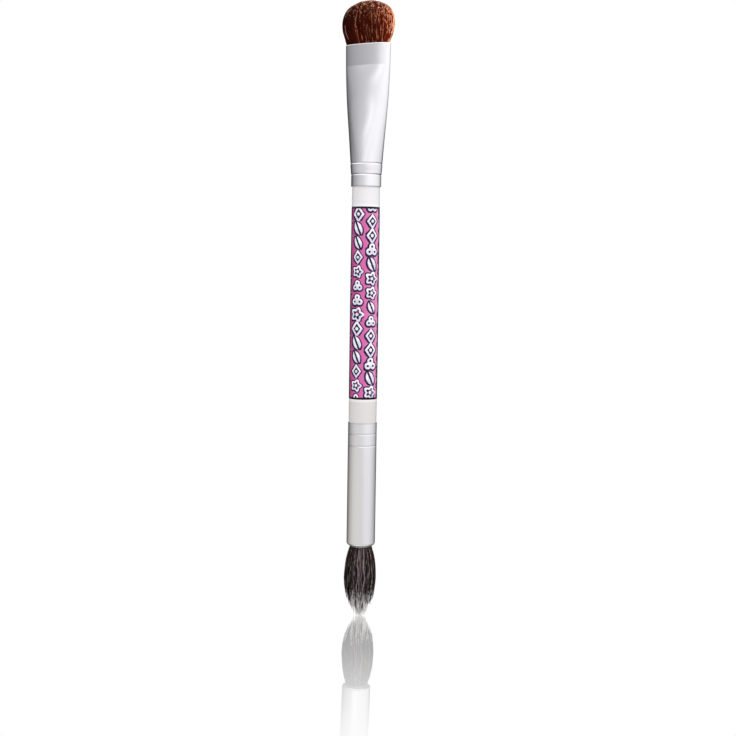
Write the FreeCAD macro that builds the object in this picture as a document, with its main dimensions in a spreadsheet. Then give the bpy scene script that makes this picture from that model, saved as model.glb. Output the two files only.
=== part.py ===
import FreeCAD, Part
import math
import os
import Sketcher

# A double-ended eyeshadow brush: a flat-oval shader head above, a round crease head below,
# one lacquered barrel between them. Millimetres. The axis is +Z, the origin is the tip of the
# crease tuft, and the flat head is widest along X.

SIZES = [
    # the barrel and its printed film
    ("handle_show_length", 68.05),
    ("handle_crease_radius", 4.05),
    ("handle_belly_radius", 4.08),
    ("handle_shader_radius", 3.99),
    ("film_crease_inset", 6.9),
    ("film_shader_inset", 5.75),
    ("film_thickness", 0.06),
    # what both ferrules share
    ("ferrule_wall", 0.3),
    ("rim_round", 0.1),
    ("crimp_width", 0.55),
    ("crimp_depth", 0.13),
    ("cement_film", 0.07),
    ("tenon_chamfer", 0.6),
    # the round ferrule of the crease head
    ("crease_ferrule_length", 36.6),
    ("crease_ferrule_radius", 4.18),
    ("crease_mouth_radius", 3.22),
    ("crease_lip_height", 0.25),
    ("crease_shoulder_height", 0.95),
    ("crease_crimp_inset", 3.3),
    ("crease_crimp_pitch", 3.45),
    ("crease_tenon_length", 12.0),
    # the flattened ferrule of the shader head
    ("shader_ferrule_length", 40.45),
    ("shader_throat_radius", 4.6),
    ("shader_band_step", 0.1),
    ("shader_mouth_half_width", 7.3),
    ("shader_mouth_half_thickness", 2.3),
    ("shader_press_height", 6.1),
    ("shader_crimp_inset", 3.4),
    ("shader_crimp_pitch", 3.15),
    ("shader_tenon_length", 11.0),
    # the hair
    ("crease_hair_length", 20.7),
    ("crease_hair_radius", 4.72),
    ("crease_root_length", 14.0),
    ("shader_hair_length", 12.2),
    ("shader_hair_half_width", 8.3),
    ("shader_hair_half_thickness", 4.1),
    ("hair_clearance", 0.1),
    ("thread_diameter", 0.36),
    ("root_glue_length", 4.0),
]

# The flare of the shader ferrule, from its round throat up to the line where the press closed on
# it: how far along a section stands, and how much of the change from the throat to the oval mouth
# its width and its thickness have made. Above that line the wall runs straight to the mouth.
FLARE_SHARES = [
    (0.0, 0.0, 0.0),
    (0.33, 0.39, 0.28),
    (0.635, 0.74, 0.65),
    (0.9, 0.91, 0.89),
    (1.0, 0.96, 1.0),
]
QUARTER_ROUND_SHARE = 1 - math.cos(math.pi / 4)
SHOULDER_OUT_SHARE = 0.66
SHOULDER_UP_SHARE = 0.42
THREAD_TURNS = 5

# Where the widest part of each tuft is, and how its end closes.
SHADER_BELLY_SHARE = 0.475
SHADER_DOME_POWER = 2.2
CREASE_BELLY_SHARE = 0.47
CREASE_FLARE_POWER = 0.85
CREASE_POINT_POWER = 0.85
TIP_SHARE = 0.06
DOME_STEP_SHARES = [0.32, 0.58, 0.78, 0.91, 0.975, 1]
POINT_STEP_SHARES = [0.25, 0.5, 0.7, 0.85, 0.94, 1]
FLARE_STEP_SHARES = [0.2, 0.45, 0.72]

# The locks of hair: how many stand round a tuft, and how deep the grooves between them are.
SHADER_LOCKS = 16
CREASE_LOCKS = 10
POINTS_PER_LOCK = 4
SHADER_LOCK_DEPTH_SHARE = 0.035
CREASE_LOCK_DEPTH_SHARE = 0.07
LOCK_SWAY = 0.8
BOUND_SECTION = 2

doc = FreeCAD.newDocument("eyeshadow_brush")
sheet = doc.addObject("Spreadsheet::Sheet", "Sizes")
for row, (alias, value) in enumerate(SIZES, start=1):
    sheet.set(f"A{row}", alias)
    sheet.set(f"B{row}", str(value))
    sheet.setAlias(f"B{row}", alias)
doc.recompute()


def cell(alias):
    """The cell as an expression names it."""
    return f"Sizes.{alias}"


def worth(expression):
    """The value of an expression, in millimetres."""
    return float(sheet.evalExpression(expression))


# Levels along the axis, stacked from the tip of the crease tuft.
CREASE_MOUTH = cell("crease_hair_length")
CREASE_RIM = f"({CREASE_MOUTH} + {cell('crease_ferrule_length')})"
SHADER_RIM = f"({CREASE_RIM} + {cell('handle_show_length')})"

# Fits that several pieces share.
WALL = cell("ferrule_wall")
CEMENT = cell("cement_film")
DEPTH = cell("crimp_depth")
HALF_CRIMP = f"({cell('crimp_width')} / 2)"
CREASE_BORE = f"({cell('crease_ferrule_radius')} - {WALL})"
CREASE_TENON = f"({CREASE_BORE} - {CEMENT})"
SHADER_BORE = f"({cell('handle_shader_radius')} + {CEMENT} / 2)"
SHADER_COLLAR = f"({SHADER_BORE} + {WALL})"
SHADER_TENON = f"({SHADER_BORE} - {CEMENT})"


def outline(body, name, corners):
    """A closed outline in the body's XZ plane. Each corner is (radius, height), reached by a
    straight line, or (radius, height, via_radius, via_height), reached by an arc through via."""
    sketch = body.newObject("Sketcher::SketchObject", name)
    plane = next(f for f in body.Origin.OriginFeatures if f.Role == "XZ_Plane")
    sketch.AttachmentSupport = (plane, [""])
    sketch.MapMode = "FlatFace"
    spots = [FreeCAD.Vector(worth(c[0]), worth(c[1]), 0) for c in corners]
    heads = []
    for i, corner in enumerate(corners):
        start = spots[i - 1]
        end = spots[i]
        head = 2
        if len(corner) == 4:
            via = FreeCAD.Vector(worth(corner[2]), worth(corner[3]), 0)
            if (via - start).cross(end - via).z < 0:
                # a sketch holds its arcs anticlockwise, so this one is drawn from its other end
                start, end, head = end, start, 1
            piece = Part.Arc(start, via, end)
        else:
            piece = Part.LineSegment(start, end)
        sketch.addGeometry(piece, False)
        heads.append(head)
    for i, corner in enumerate(corners):
        after = (i + 1) % len(corners)
        tail = 3 - heads[after]
        sketch.addConstraint(Sketcher.Constraint("Coincident", i, heads[i], after, tail))
        pin(sketch, i, heads[i], corner[0], corner[1])
    for i, corner in enumerate(corners):
        if len(corner) == 4:
            via = FreeCAD.Vector(worth(corner[2]), worth(corner[3]), 0)
            point = sketch.addGeometry(Part.Point(via), True)
            pin(sketch, point, 1, corner[2], corner[3])
            sketch.addConstraint(Sketcher.Constraint("PointOnObject", point, 1, i))
    return sketch


def pin(sketch, geometry, position, radius, height):
    """Bind a point's radius and height to their expressions."""
    for kind, axis, text in (("DistanceX", -2, radius), ("DistanceY", -1, height)):
        if text == "0":
            sketch.addConstraint(Sketcher.Constraint("PointOnObject", geometry, position, axis))
            continue
        gauge = Sketcher.Constraint(kind, -1, 1, geometry, position, worth(text))
        sketch.setExpression(f"Constraints[{sketch.addConstraint(gauge)}]", text)


def turned(label, corners, level):
    """A piece turned on the axis from one outline, lifted to its level."""
    body = doc.addObject("PartDesign::Body", label)
    sketch = outline(body, label + "_outline", corners)
    doc.recompute()
    turn = body.newObject("PartDesign::Revolution", label + "_turn")
    turn.Profile = sketch
    turn.ReferenceAxis = (sketch, ["V_Axis"])
    turn.Angle = 360
    body.setExpression("Placement.Base.z", level)
    sketch.Visibility = False
    doc.recompute()
    return body


def crimp(below, above, height):
    """Corners of a groove rolled round the outside of a wall, met on the way up."""
    return [
        (below, f"{height} - {HALF_CRIMP}"),
        (above, f"{height} + {HALF_CRIMP}", f"min({below}; {above}) - {DEPTH}", height),
    ]


def neck(below, above, height):
    """Corners of the same groove on a hidden face, as a plain notch, met on the way up."""
    return [
        (below, f"{height} - {HALF_CRIMP}"),
        (f"min({below}; {above}) - {DEPTH}", height),
        (above, f"{height} + {HALF_CRIMP}"),
    ]


def neck_down(above, below, height):
    """The same notch, met on the way down."""
    return list(reversed(neck(below, above, height)))


def rim_arc(radius, height, up):
    """The rounded outer edge at a tube's end, met on the way up (up is +1) or out of its foot
    (up is -1): the corner that the arc reaches, with the arc's middle."""
    r = cell("rim_round")
    drop = "-" if up > 0 else "+"
    cut_back = f"{QUARTER_ROUND_SHARE} * {r}"
    middle = (f"{radius} - {cut_back}", f"{height} {drop} {cut_back}")
    if up > 0:
        return [(radius, f"{height} - {r}"), (f"{radius} - {r}", height, *middle)]
    return [(f"{radius} - {r}", height), (radius, f"{height} + {r}", *middle)]


# The barrel: shallow tapers that meet at its belly, and a stepped tenon at each end with a neck
# under each roll-crimp that bites it.
low = cell("crease_tenon_length")
mid = f"({low} + {cell('handle_show_length')} / 2)"
high = f"({low} + {cell('handle_show_length')})"
top = f"({high} + {cell('shader_tenon_length')})"
chamfer = cell("tenon_chamfer")
lower_crimp = f"{low} - {cell('crease_crimp_inset')} - {cell('crease_crimp_pitch')}"
upper_crimp = f"{low} - {cell('crease_crimp_inset')}"
turned("handle_barrel", [
    ("0", "0"),
    (f"{CREASE_TENON} - {chamfer}", "0"),
    (CREASE_TENON, chamfer),
    *neck(CREASE_TENON, CREASE_TENON, f"({lower_crimp})"),
    *neck(CREASE_TENON, CREASE_TENON, f"({upper_crimp})"),
    (CREASE_TENON, low),
    (cell("handle_crease_radius"), low),
    (cell("handle_belly_radius"), mid),
    (cell("handle_shader_radius"), high),
    (SHADER_TENON, high),
    *neck(SHADER_TENON, SHADER_TENON, f"({high} + {cell('shader_crimp_inset')})"),
    (SHADER_TENON, f"{top} - {chamfer}"),
    (f"{SHADER_TENON} - {chamfer}", top),
    ("0", top),
], f"{CREASE_RIM} - {low}")

# The printed film, laid round the barrel between its two insets and following both tapers.
film_foot = cell("film_crease_inset")
film_head = cell("film_shader_inset")
film_length = f"({cell('handle_show_length')} - {film_foot} - {film_head})"
half_show = f"({cell('handle_show_length')} / 2)"
belly = cell("handle_belly_radius")
film = cell("film_thickness")
foot_radius = (f"({cell('handle_crease_radius')} + ({belly} - {cell('handle_crease_radius')})"
               f" * {film_foot} / {half_show})")
head_radius = (f"({cell('handle_shader_radius')} + ({belly} - {cell('handle_shader_radius')})"
               f" * {film_head} / {half_show})")
turned("print_sleeve", [
    (foot_radius, "0"),
    (f"{foot_radius} + {film}", "0"),
    (f"{belly} + {film}", f"{half_show} - {film_foot}"),
    (f"{head_radius} + {film}", film_length),
    (head_radius, film_length),
    (belly, f"{half_show} - {film_foot}"),
], f"{CREASE_RIM} + {film_foot}")

# The crease ferrule: one thin wall, rolled in at the mouth, crimped twice near the rim.
length = cell("crease_ferrule_length")
outer = cell("crease_ferrule_radius")
mouth = cell("crease_mouth_radius")
lip = cell("crease_lip_height")
shoulder = f"({lip} + {cell('crease_shoulder_height')})"
out_via = f"({mouth} + ({outer} - {mouth}) * {SHOULDER_OUT_SHARE})"
up_via = f"{lip} + {cell('crease_shoulder_height')} * {SHOULDER_UP_SHARE}"
first_crimp = f"({length} - {cell('crease_crimp_inset')})"
second_crimp = f"({first_crimp} - {cell('crease_crimp_pitch')})"
turned("crease_ferrule", [
    (f"{mouth} - {WALL}", "0"),
    *rim_arc(mouth, "0", -1),
    (mouth, lip),
    (outer, shoulder, out_via, up_via),
    *crimp(outer, outer, second_crimp),
    *crimp(outer, outer, first_crimp),
    *rim_arc(outer, length, 1),
    (CREASE_BORE, length),
    *neck_down(CREASE_BORE, CREASE_BORE, first_crimp),
    *neck_down(CREASE_BORE, CREASE_BORE, second_crimp),
    (CREASE_BORE, shoulder),
    (f"{mouth} - {WALL}", lip, f"{out_via} - {WALL}", up_via),
], CREASE_MOUTH)

# The cement between the crease ferrule and its tenon fills the space that the crimps leave.
cement_length = f"({cell('crease_tenon_length')} - {chamfer})"
first_crimp = f"({cement_length} - {cell('crease_crimp_inset')})"
second_crimp = f"({first_crimp} - {cell('crease_crimp_pitch')})"
turned("crease_tenon_cement", [
    (CREASE_TENON, "0"),
    (CREASE_BORE, "0"),
    *neck(CREASE_BORE, CREASE_BORE, second_crimp),
    *neck(CREASE_BORE, CREASE_BORE, first_crimp),
    (CREASE_BORE, cement_length),
    (CREASE_TENON, cement_length),
    *neck_down(CREASE_TENON, CREASE_TENON, first_crimp),
    *neck_down(CREASE_TENON, CREASE_TENON, second_crimp),
], f"{CREASE_RIM} - {cement_length}")

# The shader ferrule: a crimped collar turned on the axis, fused to a flare that is lofted from
# the round throat to the flat oval mouth and emptied by the same form one wall inside it.
throat = cell("shader_throat_radius")
throat_bore = f"({throat} - {WALL})"
band = f"({SHADER_COLLAR} + {cell('shader_band_step')})"
first_crimp = cell("shader_crimp_inset")
second_crimp = f"({first_crimp} + {cell('shader_crimp_pitch')})"
flare_foot = f"({second_crimp} + {HALF_CRIMP})"
press = cell("shader_press_height")
mouth_level = cell("shader_ferrule_length")
flare_length = f"({mouth_level} - {flare_foot} - {press})"
collar = turned("shader_collar", [
    (SHADER_BORE, "0"),
    *rim_arc(SHADER_COLLAR, "0", -1),
    *crimp(SHADER_COLLAR, band, first_crimp),
    *crimp(throat, throat, second_crimp),
    *neck_down(throat_bore, throat_bore, second_crimp),
    *neck_down(f"{band} - {WALL}", SHADER_BORE, first_crimp),
], "0")


def loft(label, ovals, straight):
    """A solid lofted through its sections, straight from one to the next or as one curve."""
    solid = doc.addObject("Part::Loft", label)
    solid.Sections = ovals
    solid.Solid = True
    solid.Ruled = straight
    return solid


def flare(label, inset):
    """The flare and the pressed band above it as one solid, each of their oval sections drawn in
    by the inset."""
    ovals = []
    sections = [(f"{flare_foot} + {flare_length} * {along}", widening, flattening)
                for along, widening, flattening in FLARE_SHARES]
    sections.append((mouth_level, 1, 1))
    for i, (level, widening, flattening) in enumerate(sections):
        oval = doc.addObject("Part::Ellipse", f"{label}_oval_{i}")
        width = f"{throat} + ({cell('shader_mouth_half_width')} - {throat}) * {widening}"
        thickness = f"{throat} - ({throat} - {cell('shader_mouth_half_thickness')}) * {flattening}"
        oval.setExpression("MajorRadius", f"{width} - ({inset})")
        oval.setExpression("MinorRadius", f"{thickness} - ({inset})")
        oval.setExpression("Placement.Base.z", level)
        ovals.append(oval)
    both = doc.addObject("Part::Fuse", label)
    both.Base = loft(label + "_curve", ovals[:-1], False)
    both.Tool = loft(label + "_press", ovals[-2:], True)
    return both


flare_skin = flare("flare_skin", "0")
flare_bore = flare("flare_bore", WALL)
flare_wall = doc.addObject("Part::Cut", "flare_wall")
flare_wall.Base = flare_skin
flare_wall.Tool = flare_bore
shader_ferrule = doc.addObject("Part::Fuse", "shader_ferrule")
shader_ferrule.Base = collar
shader_ferrule.Tool = flare_wall
shader_ferrule.setExpression("Placement.Base.z", SHADER_RIM)
doc.recompute()

# The cement at this end, up to where the flare begins.
turned("shader_tenon_cement", [
    (SHADER_TENON, "0"),
    (SHADER_BORE, "0"),
    *neck(SHADER_BORE, f"{band} - {WALL}", first_crimp),
    *neck(throat_bore, throat_bore, second_crimp),
    (SHADER_TENON, flare_foot),
    *neck_down(SHADER_TENON, SHADER_TENON, first_crimp),
], SHADER_RIM)

# The roots of the shader hair end at one of the flare's own sections, bound there with thread.
bound_share = FLARE_SHARES[BOUND_SECTION][0]
band_height = f"({cell('thread_diameter')} * {THREAD_TURNS})"
band_middle = f"({flare_foot} + {flare_length} * {bound_share})"
root_end = f"({band_middle} - {band_height} / 2)"
clear = cell("hair_clearance")


def slab(label, foot, height):
    """A round block wider than the flare, which cuts one length out of what fills it."""
    block = doc.addObject("Part::Cylinder", label)
    block.setExpression("Radius", f"{throat} + {cell('shader_mouth_half_width')}")
    block.setExpression("Height", height)
    block.setExpression("Placement.Base.z", foot)
    return block


# Set resin behind the roots of the hair: a plug as wide as the bore that it was poured into.
shader_glue = doc.addObject("Part::Common", "shader_root_glue")
shader_glue.Base = flare_bore
shader_glue.Tool = slab("shader_pour", f"{root_end} - {cell('root_glue_length')}",
                        cell("root_glue_length"))
shader_glue.setExpression("Placement.Base.z", SHADER_RIM)
turned("crease_root_glue", [
    ("0", "0"),
    (CREASE_BORE, "0"),
    (CREASE_BORE, cell("root_glue_length")),
    ("0", cell("root_glue_length")),
], f"{CREASE_MOUTH} + {cell('crease_root_length')}")

# The shader hair inside its ferrule: one thread thinner where it is bound, then up to the mouth.
thread = cell("thread_diameter")
band_top = f"({root_end} + {band_height})"
hair_fill = flare("shader_hair_fill", f"{WALL} + {clear}")
bound_fill = flare("shader_bound_fill", f"{WALL} + {clear} + {thread}")
shader_roots = doc.addObject("Part::Common", "shader_roots")
shader_roots.Base = hair_fill
shader_roots.Tool = slab("shader_roots_length", band_top, f"{mouth_level} - {band_top}")
shader_bound = doc.addObject("Part::Common", "shader_bound_roots")
shader_bound.Base = bound_fill
shader_bound.Tool = slab("shader_bound_length", root_end, f"{band_height} + {thread}")

# The turns of thread round the roots of each tuft, pressed side by side into one flat band.
band_block = doc.addObject("Part::Common", "shader_band_block")
band_block.Base = hair_fill
band_block.Tool = slab("shader_band_length", root_end, band_height)
shader_thread = doc.addObject("Part::Cut", "shader_binding_thread")
shader_thread.Base = band_block
shader_thread.Tool = bound_fill
shader_thread.setExpression("Placement.Base.z", SHADER_RIM)
crease_packing = f"({CREASE_BORE} - {clear})"
turned("crease_binding_thread", [
    (f"{crease_packing} - {thread}", "0"),
    (crease_packing, "0"),
    (crease_packing, band_height),
    (f"{crease_packing} - {thread}", band_height),
], f"{CREASE_MOUTH} + {cell('crease_root_length')} - {band_height}")


def size(alias):
    """A driving dimension as a number."""
    return worth(cell(alias))


def lock_ring(height, half_width, half_thickness, locks, depth_share):
    """One closed section of a tuft: an oval with a shallow groove between each two locks. The
    phase sways with the angle, so that no two locks are equally broad."""
    poles = []
    count = locks * POINTS_PER_LOCK
    for k in range(count):
        angle = 2 * math.pi * k / count
        phase = locks * angle + LOCK_SWAY * math.sin(2 * angle) + LOCK_SWAY * math.sin(3 * angle)
        swell = 1 - depth_share * (1 - math.cos(phase)) / 2
        poles.append(FreeCAD.Vector(half_width * swell * math.cos(angle),
                                    half_thickness * swell * math.sin(angle), height))
    curve = Part.BSplineCurve()
    curve.buildFromPoles(poles, True, 3)
    return Part.Wire([curve.toShape()])


def tip_open(share):
    """How wide a closing section stays, so that the last one is small and flat, not a point."""
    return TIP_SHARE + (1 - TIP_SHARE) * share


def feature(label, shape, level):
    """A finished shape as a document object, lifted to its level."""
    piece = doc.addObject("Part::Feature", label)
    piece.Shape = shape
    piece.Placement.Base = FreeCAD.Vector(0, 0, worth(level))
    return piece


doc.recompute()
gap = size("hair_clearance")
wall = size("ferrule_wall")
thread_width = size("thread_diameter")

# The shader tuft: bound roots, the squeezed length in the flare, and a head that swells past
# the mouth and closes as a dome.
neck_width = size("shader_mouth_half_width") - wall - gap - gap
neck_thickness = size("shader_mouth_half_thickness") - wall - gap - gap
reach = size("shader_hair_length")
rise = reach * SHADER_BELLY_SHARE
mouth_height = size("shader_ferrule_length")
head_width = size("shader_hair_half_width")
head_thickness = size("shader_hair_half_thickness")
rings = [lock_ring(mouth_height - thread_width, neck_width, neck_thickness, SHADER_LOCKS, 0)]
for share in [0] + FLARE_STEP_SHARES:
    fan = math.sin(share * math.pi / 2)
    rings.append(lock_ring(mouth_height + rise * share,
                           neck_width + (head_width - neck_width) * fan,
                           neck_thickness + (head_thickness - neck_thickness) * fan,
                           SHADER_LOCKS, SHADER_LOCK_DEPTH_SHARE * share))
for share in [0] + DOME_STEP_SHARES:
    close = tip_open((1 - share ** SHADER_DOME_POWER) ** (1 / SHADER_DOME_POWER))
    rings.append(lock_ring(mouth_height + rise + (reach - rise) * share,
                           head_width * close, head_thickness * close,
                           SHADER_LOCKS, SHADER_LOCK_DEPTH_SHARE))
shader_head = Part.makeLoft(rings, True, False)
feature("shader_tuft", shader_bound.Shape.fuse(shader_roots.Shape).fuse(shader_head), SHADER_RIM)

# The crease tuft, from its own tip: locks that draw together to a soft point, a belly, a throat
# at the rolled-in mouth, and bound roots in the bore.
crease_reach = size("crease_hair_length")
crease_belly = crease_reach * (1 - CREASE_BELLY_SHARE)
crease_radius = size("crease_hair_radius")
crease_neck = size("crease_mouth_radius") - wall - gap
packing = worth(crease_packing)
bound_length = worth(band_height)
rings = []
for share in reversed(POINT_STEP_SHARES):
    close = tip_open((1 - share ** 2) ** CREASE_POINT_POWER)
    rings.append(lock_ring(crease_belly * (1 - share), crease_radius * close,
                           crease_radius * close, CREASE_LOCKS, CREASE_LOCK_DEPTH_SHARE))
for share in [1] + list(reversed(FLARE_STEP_SHARES)) + [0]:
    fan = math.sin(share * math.pi / 2) ** CREASE_FLARE_POWER
    radius = crease_neck + (crease_radius - crease_neck) * fan
    rings.append(lock_ring(crease_reach - (crease_reach - crease_belly) * share, radius, radius,
                           CREASE_LOCKS, CREASE_LOCK_DEPTH_SHARE * share))
crease_head = Part.makeLoft(rings, True, False)
crease_lip = size("crease_lip_height")
crease_shoulder = crease_lip + size("crease_shoulder_height")
root_length = size("crease_root_length")
profile = [
    (0, -crease_lip),
    (crease_neck - gap, -crease_lip),
    (crease_neck - gap, crease_lip),
    (packing, crease_shoulder),
    (packing, root_length - bound_length),
    (packing - thread_width, root_length - bound_length),
    (packing - thread_width, root_length),
    (0, root_length),
    (0, -crease_lip),
]
corners = [FreeCAD.Vector(radius, 0, crease_reach + height) for radius, height in profile]
crease_roots = Part.Face(Part.makePolygon(corners)).revolve(
    FreeCAD.Vector(0, 0, 0), FreeCAD.Vector(0, 0, 1), 360)
feature("crease_tuft", crease_head.fuse(crease_roots), "0")

NODES = [
    "handle_barrel", "print_sleeve", "crease_ferrule", "shader_ferrule", "crease_tuft",
    "shader_tuft", "crease_root_glue", "shader_root_glue", "crease_binding_thread",
    "shader_binding_thread", "crease_tenon_cement", "shader_tenon_cement",
]

doc.recompute()
for item in doc.Objects:
    if "Invalid" in item.State or "Error" in item.State:
        raise RuntimeError(f"{item.Label} failed to build: {item.State}")
os.makedirs("parts", exist_ok=True)
for name in NODES:
    shape = doc.getObjectsByLabel(name)[0].Shape
    if shape.isNull() or not shape.isValid() or not shape.Solids:
        raise RuntimeError(f"{name} has no valid solid")
    shape.exportStep(f"parts/{name}.step")
    print(f"{name}: {len(shape.Solids)} solid, {shape.Volume:.1f} mm3")
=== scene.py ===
import math
from functools import reduce
import bpy
import numpy as np
from mathutils import Matrix, Vector


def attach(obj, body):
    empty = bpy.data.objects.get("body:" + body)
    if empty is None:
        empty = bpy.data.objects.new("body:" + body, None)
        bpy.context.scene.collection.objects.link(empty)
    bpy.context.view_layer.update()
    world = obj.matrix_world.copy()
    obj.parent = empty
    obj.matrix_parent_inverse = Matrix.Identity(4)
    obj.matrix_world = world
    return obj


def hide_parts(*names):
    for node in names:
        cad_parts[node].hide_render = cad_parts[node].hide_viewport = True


# A double-ended eyeshadow brush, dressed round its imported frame. Lengths are millimetres until a
# mesh is written, the axis is +Z, and the tip of the crease tuft is the origin.

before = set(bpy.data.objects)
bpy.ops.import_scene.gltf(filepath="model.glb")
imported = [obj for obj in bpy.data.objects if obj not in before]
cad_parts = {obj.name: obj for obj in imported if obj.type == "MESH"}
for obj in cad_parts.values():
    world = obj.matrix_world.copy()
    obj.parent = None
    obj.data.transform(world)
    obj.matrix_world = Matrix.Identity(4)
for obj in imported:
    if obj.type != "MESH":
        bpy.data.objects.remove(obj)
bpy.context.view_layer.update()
MM = 0.001
BODY = "root"
SEED = 20417
rng = np.random.default_rng(SEED)

# The shown side is turned this far from the flat side, which faces -Y, so that the brush's right,
# as it is shown, lies this far from +X.
SHOWN_TURN = math.radians(30)


def node_levels(node):
    """The lowest and the highest level of a CAD node, to a micron."""
    heights = [vertex.co.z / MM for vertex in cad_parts[node].data.vertices]
    return round(min(heights), 3), round(max(heights), 3)


# Levels along the axis.
CREASE_MOUTH, CREASE_RIM = node_levels("crease_ferrule")
FILM_FOOT, FILM_HEAD = node_levels("print_sleeve")
SHADER_RIM, SHADER_MOUTH = node_levels("shader_ferrule")
CREASE_TENON_FOOT, SHADER_TENON_HEAD = node_levels("handle_barrel")
SHADER_TOP = node_levels("shader_tuft")[1]

# The metal walls, their ends and their crimps.
WALL = 0.3
RIM_ROUND = 0.1
MOUTH_ROUND = 0.2
CRIMP_WIDTH = 0.55
CRIMP_DEPTH = 0.13

# The crease ferrule: a round tube that rolls in to a lip at its mouth.
CREASE_RADIUS = 4.18
CREASE_LIP_RADIUS = 3.22
CREASE_LIP_TOP = CREASE_MOUTH + 0.25
CREASE_SHOULDER = CREASE_LIP_TOP + 0.95
CREASE_ROLL_POWERS = (0.9, 0.95)
CREASE_CRIMPS = (50.55, 54.0)
CREASE_CRIMP_DEPTH = 0.05

# The shader ferrule: a turned collar, band and throat, then a flare that ends in a flat pressed
# band. A row of shares is how far up the flare it is, and how much of the widening and of the
# flattening is done there.
COLLAR_RADIUS = 4.325
BAND_RADIUS = 4.425
THROAT_RADIUS = 4.6
MOUTH_HALF_WIDTH = 7.3
MOUTH_HALF_THICKNESS = 2.3
SHADER_CRIMPS = (128.75, 131.9)
COLLAR_BLEND = 0.3
FLARE_FOOT = SHADER_CRIMPS[1] + CRIMP_WIDTH / 2
PRESS_LINE = 159.7
FLARE_SHARES = np.array([
    (0.0, 0.0, 0.0),
    (0.33, 0.39, 0.28),
    (0.635, 0.74, 0.65),
    (0.9, 0.91, 0.87),
    (1.0, 0.96, 1.0),
])

# The barrel and its film.
CREASE_END_RADIUS = 4.05
BELLY_RADIUS = 4.08
SHADER_END_RADIUS = 3.99
BELLY = (CREASE_RIM + SHADER_RIM) / 2
CREASE_TENON_RADIUS = 3.81
SHADER_TENON_RADIUS = 3.955
TENON_CHAMFER = 0.6
FILM_THICKNESS = 0.06
FILM_EDGE_SHARE = 0.4
FILM_BEDDING = 0.01

# How the long surfaces are cut into rows. The gap keeps two runs of rows apart.
BARREL_ROWS = 60
FILM_ROWS = 90
ROLL_ROWS = 16
ROW_GAP = 0.01
POLE_RADIUS = 0.02


# Meshes

def new_object(name, data):
    """An object in the scene that holds the data."""
    made = bpy.data.objects.new(name, data)
    bpy.context.scene.collection.objects.link(made)
    return made


def write_mesh(name, points, faces, material, layers=(), uv=None):
    """A smooth mesh piece at the origin. points is (n, 3) in millimetres; faces is a list of
    index arrays, each (count, corners); layers are (name, value per point) pairs; uv is one
    pair per face corner, in the order of faces."""
    mesh = bpy.data.meshes.new(name)
    corners = np.concatenate([part.ravel() for part in faces]).astype(np.int32)
    widths = np.concatenate([np.full(len(part), part.shape[1]) for part in faces])
    starts = np.concatenate([[0], np.cumsum(widths)[:-1]]).astype(np.int32)
    mesh.vertices.add(len(points))
    mesh.vertices.foreach_set("co", (points * MM).astype(np.float32).ravel())
    mesh.loops.add(len(corners))
    mesh.loops.foreach_set("vertex_index", corners)
    mesh.polygons.add(len(starts))
    mesh.polygons.foreach_set("loop_start", starts)
    for layer, values in layers:
        attribute = mesh.attributes.new(layer, "FLOAT", "POINT")
        attribute.data.foreach_set("value", values.astype(np.float32))
    if uv is not None:
        chart = mesh.uv_layers.new(name="OFBake")
        chart.data.foreach_set("uv", uv.astype(np.float32).ravel())
    mesh.update(calc_edges=True)
    mesh.validate()
    mesh.shade_smooth()
    mesh.materials.append(material)
    piece = new_object(name, mesh)
    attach(piece, BODY)
    return piece


def grid_faces(rows, columns, closed_rows):
    """Quads of a grid whose columns close on themselves, facing out where the rows run up and the
    columns run anticlockwise; the rows close too when a wall comes back to its own start."""
    last = rows if closed_rows else rows - 1
    i, j = np.meshgrid(np.arange(last), np.arange(columns), indexing="ij")
    up, across = (i + 1) % rows, (j + 1) % columns
    quads = np.stack([i * columns + j, i * columns + across, up * columns + across,
                      up * columns + j], axis=-1)
    return quads.reshape(-1, 4)


def swept(name, widths, thicknesses, heights, material, replaced, columns=160,
          hollow=False):
    """A surface swept along the axis, in place of the CAD node that it replaces: row i is the
    ellipse with half axes widths[i] and thicknesses[i] at heights[i]. A hollow one's rows are a
    closed loop, up the outside of the wall and down its inside; the others close on the axis
    with one point at each end."""
    angle = np.linspace(0, 2 * np.pi, columns, endpoint=False)
    x = widths[:, None] * np.cos(angle)
    y = thicknesses[:, None] * np.sin(angle)
    z = np.repeat(heights[:, None], columns, axis=1)
    points = np.stack([x, y, z], axis=-1).reshape(-1, 3)
    rows = len(heights)
    faces = [grid_faces(rows, columns, hollow)]
    if not hollow:
        j = np.arange(columns)
        across = (j + 1) % columns
        foot_pole, top_pole = len(points), len(points) + 1
        last = (rows - 1) * columns
        points = np.vstack([points, [0, 0, heights[0]], [0, 0, heights[-1]]])
        faces.append(np.stack([np.full(columns, foot_pole), across, j], axis=-1))
        faces.append(np.stack([np.full(columns, top_pole), last + j, last + across], axis=-1))
    piece = write_mesh(name, points, faces, material)
    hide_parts(replaced)


def spline(x, knots, values):
    """The natural cubic spline through the knots: the second slopes solve the usual three-term
    equations, and each stretch is the cubic that they give."""
    gap = np.diff(knots)
    count = len(knots)
    system, right_side = np.eye(count), np.zeros(count)
    for k in range(1, count - 1):
        system[k, k - 1:k + 2] = gap[k - 1], 2 * (gap[k - 1] + gap[k]), gap[k]
        right_side[k] = 6 * ((values[k + 1] - values[k]) / gap[k]
                             - (values[k] - values[k - 1]) / gap[k - 1])
    bend = np.linalg.solve(system, right_side)
    k = np.clip(np.searchsorted(knots, x) - 1, 0, count - 2)
    after, before = x - knots[k], knots[k + 1] - x
    return ((bend[k] * before ** 3 + bend[k + 1] * after ** 3) / (6 * gap[k])
            + (values[k] / gap[k] - bend[k] * gap[k] / 6) * before
            + (values[k + 1] / gap[k] - bend[k + 1] * gap[k] / 6) * after)


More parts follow.
